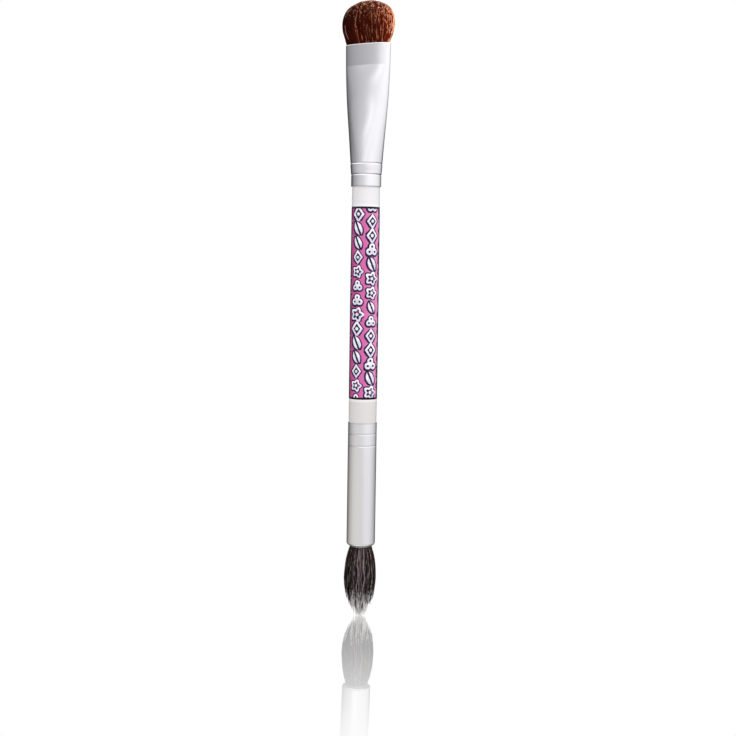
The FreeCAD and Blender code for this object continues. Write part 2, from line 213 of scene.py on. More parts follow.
def step(x, low, high):
    """A smooth step from 0 at low to 1 at high."""
    share = np.clip((x - low) / (high - low), 0, 1)
    return share * share * (3 - 2 * share)


# Shader maths

def operator(operation):
    """A method that adds one Math node to the tree of the value it is called on."""
    def apply(value, *others):
        sockets = dict(enumerate((value, *others)))
        return value.paint.node("ShaderNodeMath", {"operation": operation}, sockets)
    return apply


class Value:
    """A shader socket. Python's operators on it, and its own methods, add Math nodes."""

    def __init__(self, paint, socket):
        self.paint, self.socket = paint, socket

    __add__ = __radd__ = operator("ADD")
    __sub__ = operator("SUBTRACT")
    __mul__ = __rmul__ = operator("MULTIPLY")
    __truediv__ = operator("DIVIDE")
    __pow__ = operator("POWER")
    __mod__ = operator("FLOORED_MODULO")
    __abs__ = operator("ABSOLUTE")
    floor = operator("FLOOR")
    sin = operator("SINE")
    cos = operator("COSINE")
    root = operator("SQRT")
    angle = operator("ARCTAN2")
    least = operator("MINIMUM")
    most = operator("MAXIMUM")

    def __neg__(self):
        return self * -1.0

    def __rsub__(self, other):
        return -self + other

    def ramp(self, low, high, start=0.0, end=1.0):
        """start below low, end above high, and a smooth change between them."""
        return self.paint.node("ShaderNodeMapRange", {"interpolation_type": "SMOOTHSTEP"},
                               {0: self, 1: low, 2: high, 3: start, 4: end})


# The sockets that a Mix node uses for colours.
MIX_SHARE, MIX_FIRST, MIX_SECOND, MIX_RESULT = 0, 6, 7, 2


class Paint:
    """One node tree and the one way to add a node to it."""

    def __init__(self, tree):
        self.tree = tree
        tree.nodes.clear()

    def node(self, kind, settings, sockets, output=0):
        """Adds a node: its settings first, then the values or links of its sockets. A ramp's
        stops are (place, grey level) pairs."""
        made = self.tree.nodes.new(kind)
        for key, value in settings.items():
            if key == "stops":
                self._stops(made.color_ramp, value)
            else:
                setattr(made, key, value)
        for key, value in sockets.items():
            if isinstance(value, Value):
                self.tree.links.new(value.socket, made.inputs[key])
            else:
                made.inputs[key].default_value = value
        return Value(self, made.outputs[output]) if made.outputs else made

    @staticmethod
    def _stops(ramp, stops):
        while len(ramp.elements) < len(stops):
            ramp.elements.new(0.5)
        for element, (place, level) in zip(ramp.elements, stops):
            element.position = place
            element.color = (level, level, level, 1)

    def mix(self, share, first, second):
        """first where share is 0, second where it is 1, for colours."""
        return self.node("ShaderNodeMix", {"data_type": "RGBA"},
                         {MIX_SHARE: share, MIX_FIRST: _rgba(first), MIX_SECOND: _rgba(second)},
                         output=MIX_RESULT)

    def scaled(self, vector, factors):
        """A position or a colour, each part times its own factor."""
        return self.node("ShaderNodeVectorMath", {"operation": "MULTIPLY"},
                         {0: vector, 1: factors})

    def parts(self, vector):
        """The three values of a vector."""
        outputs = self.node("ShaderNodeSeparateXYZ", {}, {0: vector}).socket.node.outputs
        return [Value(self, out) for out in outputs]

    def place(self):
        """Object coordinates in millimetres: the vector, and then its three values."""
        metres = self.node("ShaderNodeTexCoord", {}, {}, output="Object")
        where = self.node("ShaderNodeVectorMath", {"operation": "SCALE"},
                          {"Vector": metres, "Scale": 1 / MM})
        return where, *self.parts(where)

    def layer(self, name):
        """A mesh layer's value."""
        return self.node("ShaderNodeAttribute", {"attribute_name": name}, {}, output="Fac")

    def noise(self, where, scale, detail=2.0):
        """Smooth noise between 0 and 1."""
        return self.node("ShaderNodeTexNoise", {}, {"Vector": where, "Scale": scale,
                                                   "Detail": detail})


def _rgba(colour):
    return colour if isinstance(colour, Value) else (*colour, 1)


def new_material(name):
    """A material with an empty node tree, and the paint for it."""
    material = bpy.data.materials.new(name)
    material.use_nodes = True
    return material, Paint(material.node_tree)


def finish_material(name, build):
    """A material whose build function gives the sockets of one Principled surface."""
    material, paint = new_material(name)
    surface = paint.node("ShaderNodeBsdfPrincipled", {}, build(paint))
    paint.node("ShaderNodeOutputMaterial", {}, {"Surface": surface})
    return material


def bumped(paint, height, strength, distance):
    """A normal tilted by a height, which counts as distance millimetres at 1."""
    return paint.node("ShaderNodeBump", {}, {"Strength": strength, "Distance": distance * MM,
                                            "Height": height})


# Lacquer and metal

def white_lacquer(paint):
    """Gloss white lacquer with faint clouds and a skin of flow marks: a little darker and warmer
    low down, which is painted shade, and brighter in a narrow margin beside the film."""
    cool_white, shaded_warm_white = (0.70, 0.68, 0.705), (0.60, 0.58, 0.575)
    cloud_grey, margin_white = (0.55, 0.54, 0.53), (0.80, 0.79, 0.81)
    where, _, _, z = paint.place()
    cloud = paint.noise(where, 0.35)
    skin = paint.noise(where, 1.6)
    from_film = abs(abs(z - (FILM_FOOT + FILM_HEAD) / 2) - (FILM_HEAD - FILM_FOOT) / 2)
    # Painted shade: the lacquer is darker and warmer low down.
    colour = paint.mix(z.ramp(60, 110, 1, 0), cool_white, shaded_warm_white)
    colour = paint.mix(cloud * 0.10, colour, cloud_grey)
    colour = paint.mix(from_film.ramp(0.5, 0.9, 0.6, 0), colour, margin_white)
    return {"Base Color": colour, "Roughness": cloud.ramp(0.3, 0.7, 0.16, 0.24),
            "IOR": 1.45, "Coat Weight": 0.15, "Coat Roughness": 0.06,
            "Normal": bumped(paint, skin, 0.2, 0.015)}


# How dark the painted shade in each crimp is, and how far above its middle it lies.
SHADED_CRIMPS = tuple(zip((*CREASE_CRIMPS, *SHADER_CRIMPS), (0.1, 0.1, 0.45, 0.25)))
SHADE_LIFT = 0.2
RIM_SHADE_INSET = 0.12


def satin_metal(paint):
    """Satin aluminium in slow shallow waves: fine turning marks round the tube, a few longer
    scuffs, painted shade in the crimps, along the rims and just above the round mouth's lip, and a
    painted highlight along the flat mouth's edge. The upper ferrule is a touch bluer."""
    plain, bluer, clouded = (0.73, 0.725, 0.73), (0.73, 0.72, 0.755), (0.69, 0.685, 0.71)
    shade_grey, mouth_highlight = (0.3, 0.29, 0.3), (0.97, 0.96, 0.98)
    where, _, _, z = paint.place()
    turning = paint.noise(paint.scaled(where, (0.1, 0.1, 6.0)), 1.0, 3.0)
    cloud = paint.noise(where, 0.5)
    scuff = paint.noise(paint.scaled(where, (2.2, 2.2, 0.25)), 1.3, 4.0).ramp(0.62, 0.74)
    wave = paint.noise(where, 0.12, 0.0)
    # Painted shade: a dark band just above the round mouth's lip, along each rim, and in the upper
    # flank of each crimp.
    painted_shade = z.ramp(CREASE_MOUTH + 0.2, CREASE_MOUTH + 0.5, 0.7, 0)
    for level, weight in SHADED_CRIMPS:
        painted_shade = painted_shade.most(abs(z - (level + SHADE_LIFT)).ramp(0.1, 0.26, weight, 0))
    for rim in (CREASE_RIM - RIM_SHADE_INSET, SHADER_RIM + RIM_SHADE_INSET):
        painted_shade = painted_shade.most(abs(z - rim).ramp(0.06, 0.2, 0.5, 0))
    colour = paint.mix(z.ramp(60, 120), plain, bluer)
    colour = paint.mix(cloud * 0.3, colour, clouded)
    colour = paint.mix(painted_shade, colour, shade_grey)
    # Painted highlight: a bright line along the flat mouth's rounded edge.
    colour = paint.mix(z.ramp(SHADER_MOUTH - 0.35, SHADER_MOUTH - 0.15), colour, mouth_highlight)
    return {"Base Color": colour, "Metallic": 1.0,
            "Roughness": turning * 0.05 + scuff * 0.04 + 0.15,
            "Normal": bumped(paint, wave + turning * 0.006, 1.0, 0.05)}


# The film's print. Angles are degrees round the barrel from the shown side, and MM_ROUND is the
# length of one of them on the film. A motif is given by its distance: below 0 inside its white.
MM_ROUND = math.radians(1) * 4.14
PANEL_TURN = 180
ROW_TURN = 60
BAND_EDGE = (66, 69)
MOTIF_PITCH = 4.1
ROW_STAGGER = 2.1
BEAD_PITCH = 2.0
APART = 9.0


def blossom(p, q, reach):
    """A ring whose radius swells five times round, with a dot in it."""
    petals = abs(reach - (1.24 + (q.angle(p) * 5.0).cos() * 0.27)) - 0.3
    return petals.least(reach - 0.42)


def leaf(p, q):
    """The lens between two circles, tilted, with a vein cut along it."""
    tilt = math.radians(24)
    aside = abs(p * math.cos(tilt) + q * math.sin(tilt))
    along = q * math.cos(tilt) - p * math.sin(tilt)
    blade = ((aside + 1.15) ** 2 + along * along).root() - 2.15
    return blade.most(0.16 - abs(aside - 0.09))


def diamond(p, q, reach):
    """A diamond's outline, with a dot in it."""
    frame_line = abs((abs(p) * 0.82 + abs(q) * 0.62) - 0.98) - 0.24
    return frame_line.least(reach - 0.4)


def trefoil(p, q):
    """Three rings round a point, one above and two below."""
    lobes = []
    for angle in np.radians((90, 210, 330)):
        dx, dy = p - 0.78 * math.cos(angle), q - 0.78 * math.sin(angle)
        lobes.append(abs((dx * dx + dy * dy).root() - 0.52) - 0.25)
    return reduce(Value.least, lobes)


def printed_film(paint):
    """Pink gloss film, darker towards one side of each panel and lighter towards the other, which
    is
    painted shade and painted light: two panels bounded by plum bands with beads, which also stand
    for painted shade along the film's shown edges, each with two rows of white blossoms, leaves,
    diamonds and trefoils outlined in dark violet. A row is cut into cells of one pitch, with p
    round the film and q up it from a cell's middle, and a cell's number picks its motif."""
    shaded_side_pink, pink, lit_side_pink, shaded_pink = ((0.39, 0.05, 0.18), (0.57, 0.13, 0.345),
                                                (0.68, 0.24, 0.47), (0.50, 0.07, 0.27))
    ink, light_ink = (0.008, 0.003, 0.020), (0.03, 0.012, 0.075)
    dull_white, white = (0.62, 0.61, 0.72), (0.84, 0.82, 0.87)
    plum, bead_pink, edge_black = (0.022, 0.004, 0.020), (0.7, 0.5, 0.62), (0.008, 0.001, 0.010)

    where, x, y, z = paint.place()
    facing = (x.angle(-y) - SHOWN_TURN) * (180 / math.pi)
    facing = (facing + 180) % 360 - 180
    side = (facing + PANEL_TURN / 2) % PANEL_TURN - PANEL_TURN / 2
    row = (facing / ROW_TURN).floor()
    up = z - FILM_FOOT + (row % 2) * ROW_STAGGER
    cell = (up / MOTIF_PITCH).floor()
    size = (z * 0.19 + row * 2.0).sin() * 0.12 + 1.14
    p = (side % ROW_TURN - ROW_TURN / 2) * MM_ROUND / size
    q = (up % MOTIF_PITCH - MOTIF_PITCH / 2) / size
    reach = (p * p + q * q).root()

    kind = (cell * (cell + 1.0) / 2.0 + row) % 4
    shapes = (blossom(p, q, reach), leaf(p, q), diamond(p, q, reach), trefoil(p, q))
    motif = reduce(Value.least, [shape + abs(kind - float(k)) * APART
                                 for k, shape in enumerate(shapes)])
    motif = motif + (paint.noise(where, 1.9, 1.0) - 0.5) * 0.21
    fill = motif.ramp(-0.06, 0.04, 1, 0)
    heavier_side = (q.angle(p) + math.radians(135)).cos() * 0.14
    outline = (motif - heavier_side).ramp(0.36, 0.46, 1, 0)
    # The plum bands are print that also stands for painted shade along the film's shown edges.
    band = abs(side).ramp(*BAND_EDGE)
    bead_aside = (abs(side) - PANEL_TURN / 2) * MM_ROUND
    bead_along = z % BEAD_PITCH - BEAD_PITCH / 2
    bead = (bead_aside * bead_aside + bead_along * bead_along).root().ramp(0.22, 0.3, 1, 0)
    edge_line = (z - FILM_FOOT).least(FILM_HEAD - z).ramp(0.54, 0.64, 1, 0)

    shade = paint.noise(where, 1.1)
    # Painted shade and light: each panel's ground darkens towards one side and lightens towards
    # the other.
    ground = paint.mix(side.ramp(-65, -22), shaded_side_pink, pink)
    ground = paint.mix(side.ramp(-5, 35), ground, lit_side_pink)
    ground = paint.mix(shade.ramp(0.3, 0.7, 0, 0.25), ground, shaded_pink)
    outline_ink = paint.mix(shade.ramp(0.35, 0.65), ink, light_ink)
    motif_white = paint.mix((shade + q * 0.12).ramp(0.42, 0.62), dull_white, white)
    colour = paint.mix(outline, ground, outline_ink)
    colour = paint.mix(fill, colour, motif_white)
    colour = paint.mix(band, colour, paint.mix(bead, plum, bead_pink))
    colour = paint.mix(edge_line, colour, edge_black)
    return {"Base Color": colour, "Roughness": 0.22 + shade * 0.06, "IOR": 1.45,
            "Specular IOR Level": 0.12, "Coat Weight": 0.04, "Coat Roughness": 0.05,
            "Normal": bumped(paint, outline * 0.5 + fill * 0.5, 0.3, 0.01)}


# Hair, resin and thread

def hair(dark, middle, light, tip, tip_length, faded, sheen):
    """Natural hair: each hair has its own tone from dark to light, broken into lighter and darker
    stretches along it. Those that have a paler end fade into it over the tip's length and below
    the two heights in faded, and near the brush's lower tip all of them do. sheen is the colour
    of their highlights."""
    def build(paint):
        where, _, _, z = paint.place()
        pale = paint.layer("pale")
        patch = paint.noise(where, 0.6)
        broken = paint.noise(paint.scaled(where, (6.0, 6.0, 0.6)), 1.0, 1.0)
        tone = paint.layer("tone") + (patch - 0.5) * 0.1 + (broken - 0.5) * 0.7
        colour = paint.mix(tone.ramp(0.0, 0.5), dark, middle)
        colour = paint.mix(tone.ramp(0.5, 1.0), colour, light)
        low = (z + (0.85 - pale) * 3.0).ramp(*faded, 1, 0)
        fade = paint.layer("to_tip").ramp(0.3 * tip_length, tip_length, 1, 0).most(low)
        colour = paint.mix(fade * pale.most(z.ramp(1.0, 4.2, 0.9, 0)), colour, tip)
        return {"Base Color": colour, "Roughness": 0.36 + patch * 0.12, "IOR": 1.45,
                "Specular IOR Level": 0.1, "Specular Tint": (*sheen, 1)}
    return build


def hair_shadow(colour):
    """The dark between the hairs, with lighter streaks along them."""
    streak_gain = 2.2

    def build(paint):
        where, *_ = paint.place()
        streak = paint.noise(paint.scaled(where, (3.0, 3.0, 0.3)), 1.0)
        streaked = paint.mix(streak, colour, tuple(streak_gain * c for c in colour))
        return {"Base Color": streaked, "Roughness": 0.7,
                "Normal": bumped(paint, streak, 0.6, 0.2)}
    return build


def set_resin(paint):
    """Amber resin, cloudy and a little uneven."""
    amber, clouded = (0.62, 0.46, 0.22), (0.78, 0.68, 0.45)
    where, *_ = paint.place()
    cloud = paint.noise(where, 0.9, 4.0)
    return {"Base Color": paint.mix(cloud, amber, clouded),
            "Roughness": 0.2 + cloud * 0.3, "Normal": bumped(paint, cloud, 0.4, 0.1)}


def waxed_thread(paint):
    """Waxed cotton: the turns lie side by side, twisted a little."""
    shaded, cotton = (0.55, 0.5, 0.42), (0.86, 0.83, 0.76)
    half_turn_height = 0.36
    where, _, _, z = paint.place()
    turns = (z * (math.pi / half_turn_height)).sin() * 0.5 + 0.5
    fibre = paint.noise(paint.scaled(where, (6.0, 6.0, 12.0)), 1.0)
    return {"Base Color": paint.mix(turns * fibre, shaded, cotton),
            "Roughness": 0.7, "Normal": bumped(paint, turns + fibre * 0.3, 0.8, 0.12)}


LACQUER = finish_material("white_lacquer", white_lacquer)
METAL = finish_material("satin_metal", satin_metal)
FILM = finish_material("printed_film", printed_film)
BELOW_THE_BRUSH = (-9.0, -8.0)
BROWN_HAIR = finish_material("brown_hair", hair(
    dark=(0.012, 0.0004, 0.0001), middle=(0.080, 0.0065, 0.0016), light=(0.66, 0.31, 0.17),
    tip=(0.88, 0.44, 0.25), tip_length=0.4, faded=BELOW_THE_BRUSH, sheen=(1.0, 0.4, 0.25)))
GREY_HAIR = finish_material("grey_hair", hair(
    dark=(0.003, 0.0012, 0.0011), middle=(0.046, 0.033, 0.032), light=(0.36, 0.29, 0.285),
    tip=(0.96, 0.915, 0.91), tip_length=0.9, faded=(1.6, 8.0), sheen=(1.0, 0.88, 0.86)))
BROWN_SHADOW = finish_material("brown_hair_shadow", hair_shadow((0.012, 0.003, 0.001)))
GREY_SHADOW = finish_material("grey_hair_shadow", hair_shadow((0.008, 0.006, 0.006)))
RESIN = finish_material("set_resin", set_resin)
THREAD = finish_material("waxed_thread", waxed_thread)

# The pieces that stay as packed, all of them hidden inside, get their finishes.
for end in ("crease", "shader"):
    for kind, material in (("root_glue", RESIN), ("tenon_cement", RESIN),
                           ("binding_thread", THREAD)):
        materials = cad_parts[f"{end}_{kind}"].data.materials
        materials.clear()
        materials.append(material)


# The barrel and its film

def barrel_radius(z):
    """The barrel's two shallow tapers, from its belly to its ends."""
    return np.interp(z, (CREASE_RIM, BELLY, SHADER_RIM),
                     (CREASE_END_RADIUS, BELLY_RADIUS, SHADER_END_RADIUS))


def tenon_grooves(radius, levels):
    """The V grooves that crimps press into a tenon, as points of its profile."""
    half = CRIMP_WIDTH / 2
    return [(radius - depth, level + offset) for level in levels
            for depth, offset in ((0, -half), (CRIMP_DEPTH, 0), (0, half))]


def barrel():
    """The lacquered barrel, its radius given against the height: two shallow tapers between the
    rims, and a stepped, chamfered tenon at each end, grooved where a crimp holds it."""
    show = np.linspace(CREASE_RIM + 2 * ROW_GAP, SHADER_RIM - 2 * ROW_GAP, BARREL_ROWS)
    profile = [
        (POLE_RADIUS, CREASE_TENON_FOOT),
        (CREASE_TENON_RADIUS - TENON_CHAMFER, CREASE_TENON_FOOT),
        (CREASE_TENON_RADIUS, CREASE_TENON_FOOT + TENON_CHAMFER),
        *tenon_grooves(CREASE_TENON_RADIUS, CREASE_CRIMPS),
        (CREASE_TENON_RADIUS, CREASE_RIM),
        (CREASE_END_RADIUS, CREASE_RIM),
        *zip(barrel_radius(show), show),
        (SHADER_END_RADIUS, SHADER_RIM),
        (SHADER_TENON_RADIUS, SHADER_RIM),
        *tenon_grooves(SHADER_TENON_RADIUS, SHADER_CRIMPS[:1]),
        (SHADER_TENON_RADIUS, SHADER_TENON_HEAD - TENON_CHAMFER),
        (SHADER_TENON_RADIUS - TENON_CHAMFER, SHADER_TENON_HEAD),
        (POLE_RADIUS, SHADER_TENON_HEAD),
    ]
    radii, heights = np.array(profile).T
    swept("lacquered_barrel", radii, radii, heights, LACQUER, "handle_barrel")


def film():
    """The printed film: a closed thin wall on the barrel, its outside one film thickness out,
    with a bevel as high as the film is thick at each edge."""
    up = np.linspace(FILM_FOOT, FILM_HEAD, FILM_ROWS)
    bevel = np.minimum(np.minimum(up - FILM_FOOT, FILM_HEAD - up) / FILM_THICKNESS, 1)
    outside = barrel_radius(up) + FILM_THICKNESS * (
        FILM_EDGE_SHARE + (1 - FILM_EDGE_SHARE) * bevel)
    inside = barrel_radius(up[::-1]) - FILM_BEDDING
    radii = np.concatenate([outside, inside])
    heights = np.concatenate([up, up[::-1]])
    swept("printed_film", radii, radii, heights, FILM, "print_sleeve", hollow=True)


# The ferrules

def crimp_dip(z, levels, depth):
    """How far the rolled grooves draw the wall in: a raised cosine across each one's width."""
    dip = np.zeros_like(z)
    for level in levels:
        share = np.clip(np.abs(z - level) / (CRIMP_WIDTH / 2), 0, 1)
        dip += depth * (1 + np.cos(np.pi * share)) / 2
    return dip


def levels_between(low, high, fine, coarse=1.2, span=0.5, count=25):
    """Heights from low to high, with count of them close together round each level in fine."""
    parts = [np.arange(low, high, coarse), [high]]
    parts += [np.linspace(level - span, level + span, count) for level in fine]
    levels = np.unique(np.round(np.concatenate(parts), 4))
    return levels[(levels >= low) & (levels <= high)]


def rounded_end(radius, height, way, size=RIM_ROUND, count=7):
    """The quarter round at a tube's end, from its outside to its face (way is +1 at a top end and
    -1 at a foot), as radii and heights."""
    turn = np.linspace(0, np.pi / 2, count)
    return (radius - size * (1 - np.cos(turn)),
            height - way * size * (1 - np.sin(turn)))


def crease_ferrule():
    """The round ferrule: a wall that rolls in to the lip at its mouth, as powers of a quarter
    sine and cosine, and has two crimps near its rim. The outside runs up, the inside comes back
    down."""
    foot_r, foot_z = rounded_end(CREASE_LIP_RADIUS, CREASE_MOUTH, -1)
    turn = np.linspace(0, np.pi / 2, ROLL_ROWS)
    out_power, up_power = CREASE_ROLL_POWERS
    run, lift = CREASE_RADIUS - CREASE_LIP_RADIUS, CREASE_SHOULDER - CREASE_LIP_TOP
    roll_r = CREASE_LIP_RADIUS + run * np.sin(turn) ** out_power
    roll_z = CREASE_LIP_TOP + lift * (1 - np.cos(turn)) ** up_power
    up = levels_between(CREASE_SHOULDER + 5 * ROW_GAP, CREASE_RIM - RIM_ROUND - ROW_GAP,
                        CREASE_CRIMPS)
    up_r = CREASE_RADIUS - crimp_dip(up, CREASE_CRIMPS, CREASE_CRIMP_DEPTH)
    top_r, top_z = rounded_end(CREASE_RADIUS, CREASE_RIM, 1)
    down = levels_between(CREASE_SHOULDER, CREASE_RIM, CREASE_CRIMPS)[::-1]
    down_r = CREASE_RADIUS - WALL - crimp_dip(down, CREASE_CRIMPS, CREASE_CRIMP_DEPTH)
    inner_r = (roll_r - WALL)[::-1][1:]
    inner_z = roll_z[::-1][1:]
    radii = np.concatenate([foot_r[::-1], roll_r, up_r, top_r, down_r, inner_r,
                            [CREASE_LIP_RADIUS - WALL]])
    heights = np.concatenate([foot_z[::-1], roll_z, up, top_z, down, inner_z, [CREASE_MOUTH]])
    swept("crease_ferrule_tube", radii, radii, heights, METAL, "crease_ferrule",
          hollow=True)


def flare_sizes(z):
    """Half width and half thickness of the shader ferrule's outside: turned collar, band and
    throat below, splines through the flare's shares up to the press line, and the straight
    pressed band above it."""
    share = np.clip((z - FLARE_FOOT) / (PRESS_LINE - FLARE_FOOT), 0, 1)
    pressed = np.clip((z - PRESS_LINE) / (SHADER_MOUTH - PRESS_LINE), 0, 1)
    widening = spline(share, FLARE_SHARES[:, 0], FLARE_SHARES[:, 1])
    widening = widening + (1 - FLARE_SHARES[-1, 1]) * pressed
    flattening = spline(share, FLARE_SHARES[:, 0], FLARE_SHARES[:, 2])
    low, high = SHADER_CRIMPS
    band = step(z, low - COLLAR_BLEND, low + COLLAR_BLEND)
    throat = step(z, low + COLLAR_BLEND, high - COLLAR_BLEND)
    turned = (COLLAR_RADIUS + (BAND_RADIUS - COLLAR_RADIUS) * band
              + (THROAT_RADIUS - BAND_RADIUS) * throat)
    width = turned + (MOUTH_HALF_WIDTH - THROAT_RADIUS) * widening
    thickness = turned - (THROAT_RADIUS - MOUTH_HALF_THICKNESS) * flattening
    return width, thickness


def shader_ferrule():
    """The flattened ferrule: a round crimped collar that turns into a flat oval mouth. The
    outside runs up, the inside comes back down one wall inside it."""
    foot_r, foot_z = rounded_end(COLLAR_RADIUS, SHADER_RIM, -1)
    up = levels_between(SHADER_RIM + RIM_ROUND + ROW_GAP, SHADER_MOUTH - MOUTH_ROUND - ROW_GAP,
                        (*SHADER_CRIMPS, PRESS_LINE), coarse=0.8)
    width, thickness = flare_sizes(up)
    dip = crimp_dip(up, SHADER_CRIMPS, CRIMP_DEPTH)
    lip_offset, lip_z = rounded_end(0, SHADER_MOUTH, 1, MOUTH_ROUND)
    widths, thicknesses = (
        np.concatenate([foot_r[::-1], outside - dip, mouth + lip_offset, [mouth - WALL],
                        (outside - dip - WALL)[::-1], [COLLAR_RADIUS - WALL]])
        for outside, mouth in ((width, MOUTH_HALF_WIDTH), (thickness, MOUTH_HALF_THICKNESS)))
    heights = np.concatenate([foot_z[::-1], up, lip_z, [SHADER_MOUTH], up[::-1], [SHADER_RIM]])
    swept("shader_ferrule_tube", widths, thicknesses, heights, METAL, "shader_ferrule",
          columns=240, hollow=True)


# Hair. A strand is a tube of a few rows; its chart is a strip in its own cell of the UV square,
# with its two end triangles beside the strip.
STRAND_ROWS = 9
STRAND_SIDES = 3
CELL_MARGIN_SHARE = 0.1
STRIP_WIDTH_SHARE = 0.6
STRIP_HEIGHT_SHARE = 0.8
END_CORNER_SHARES = np.array([(0.74, 0.1), (0.86, 0.1), (0.8, 0.3)])
TIP_RISE_SHARE = 0.5


def any_turn(*shape):
    """Random angles between nought and a full turn."""
    return rng.uniform(0, 2 * np.pi, shape)


def unit(vectors):
    """The vectors, each brought to a length of 1."""
    return vectors / (np.linalg.norm(vectors, axis=-1, keepdims=True) + 1e-12)


def strands(name, lines, radii, tone, pale, material):
    """Hairs as three-sided tapered tubes. lines is (hairs, rows, 3), radii is (hairs, rows). A
    ring's corners stand at 120 degrees on two directions square to the line, and each end closes
    with one triangle. The layers give each hair's tone, how pale its end is, and each point's
    way to the tip."""
    hairs, rows, _ = lines.shape
    heading = unit(np.gradient(lines, axis=1))
    outward = unit(lines * np.array([1, 1, 0]))
    side = unit(np.cross(heading, outward))
    across = np.cross(side, heading)
    turn = np.arange(STRAND_SIDES) * 2 * np.pi / STRAND_SIDES
    ring = across[:, :, None] * np.cos(turn)[:, None] + side[:, :, None] * np.sin(turn)[:, None]
    points = lines[:, :, None] + ring * radii[:, :, None, None]
    index = np.arange(hairs * rows * STRAND_SIDES).reshape(hairs, rows, STRAND_SIDES)
    low, high = index[:, :-1], index[:, 1:]
    quads = np.stack([low, np.roll(low, -1, 2), np.roll(high, -1, 2), high], axis=-1)
    roots = index[:, 0, ::-1]
    tips = index[:, -1]

    columns = int(np.ceil(np.sqrt(hairs)))
    cell = 1 / columns
    corner = np.stack([np.arange(hairs) % columns, np.arange(hairs) // columns], axis=-1) * cell
    u = np.linspace(0, STRIP_WIDTH_SHARE, STRAND_SIDES + 1)
    v = np.linspace(0, STRIP_HEIGHT_SHARE, rows)
    u, v = (u + CELL_MARGIN_SHARE) * cell, (v + CELL_MARGIN_SHARE) * cell
    quad_uv = np.zeros((hairs, rows - 1, STRAND_SIDES, 4, 2))
    quad_uv[..., 0] = corner[:, None, None, None, 0] + np.stack(
        [u[:-1], u[1:], u[1:], u[:-1]], axis=-1)
    quad_uv[..., 1] = corner[:, None, None, None, 1] + np.stack(
        [v[:-1], v[:-1], v[1:], v[1:]], axis=-1)[:, None, :]
    root_uv = corner[:, None] + END_CORNER_SHARES * cell
    tip_uv = root_uv + np.array([0, TIP_RISE_SHARE * cell])
    uv = np.concatenate([quad_uv.reshape(-1, 2), root_uv.reshape(-1, 2), tip_uv.reshape(-1, 2)])

    pieces = np.linalg.norm(np.diff(lines, axis=1), axis=2)
    to_tip = np.pad(np.cumsum(pieces[:, ::-1], axis=1)[:, ::-1], ((0, 0), (0, 1)))
    layers = [(layer, np.broadcast_to(values[..., None], (hairs, rows, STRAND_SIDES)).ravel())
              for layer, values in (("tone", tone[:, None]), ("pale", pale[:, None]),
                                    ("to_tip", to_tip))]
    write_mesh(name, points.reshape(-1, 3), [quads.reshape(-1, 4), roots, tips], material,
               layers=layers, uv=uv)


# The shader head: the hair fans out of the flat mouth to its widest place and ends in a dome. Its
# right side, as it is shown, gets painted light and its left side painted shade.
HEAD_HALF_WIDTH = 8.3
HEAD_HALF_THICKNESS = 4.1
NECK_HALF_WIDTH = 6.93
NECK_HALF_THICKNESS = 1.93
HEAD_REACH = SHADER_TOP - SHADER_MOUTH
HEAD_RISE_SHARE = 0.475
HEAD_RISE = HEAD_REACH * HEAD_RISE_SHARE
DOME_REACH = HEAD_REACH - HEAD_RISE
DOME_POWER = 2.2
DOME_SHARPNESS = 14.0
HEAD_ROOT_DEPTH = 3.0
HEAD_SWAY = 0.07
HEAD_HAIR_RADII = (0.06, 0.09)
HEAD_PALE_CELL = 0.3
HEAD_PALE_SHARE = 0.22
HEAD_CORE_SHARE = 0.965
HEAD_LOCK_COUNT = 170
HEAD_LOCKS = np.sort(any_turn(HEAD_LOCK_COUNT))
HEAD_LOCK_TONES = rng.uniform(0, 1, HEAD_LOCK_COUNT)


def own_lock(bearing, lock_bearings):
    """Each hair's nearest lock, and how far it leans towards it."""
    lean_share = 0.15
    apart = np.angle(np.exp(1j * (lock_bearings - bearing[:, None])))
    lock = np.argmin(np.abs(apart), axis=1)
    return lock, lean_share * apart[np.arange(len(bearing)), lock]


def head_sizes(h):
    """Half width and half thickness of the shader head at a height above the mouth: it fans out
    as a sine up to its widest place."""
    fan = np.sin(np.clip(h / HEAD_RISE, 0, 1) * np.pi / 2)
    return (NECK_HALF_WIDTH + (HEAD_HALF_WIDTH - NECK_HALF_WIDTH) * fan,
            NECK_HALF_THICKNESS + (HEAD_HALF_THICKNESS - NECK_HALF_THICKNESS) * fan)


def superellipse(share):
    """The other coordinate of a point on the dome's section, whose two reaches are 1."""
    return (1 - share ** DOME_POWER) ** (1 / DOME_POWER)


def dome_share(h):
    """How much of the widest section is left at a height, on the superellipse dome."""
    return superellipse(np.clip((h - HEAD_RISE) / DOME_REACH, 0, 0.999))


def in_picked_cells(points, size, share):
    """Whether each point lies in one of the cubic cells, a share of all, that a hash picks."""
    mixed = np.floor(points / size) @ np.array([12.99, 78.23, 37.72])
    return np.sin(mixed) * 4375.85 % 1 > 1 - share


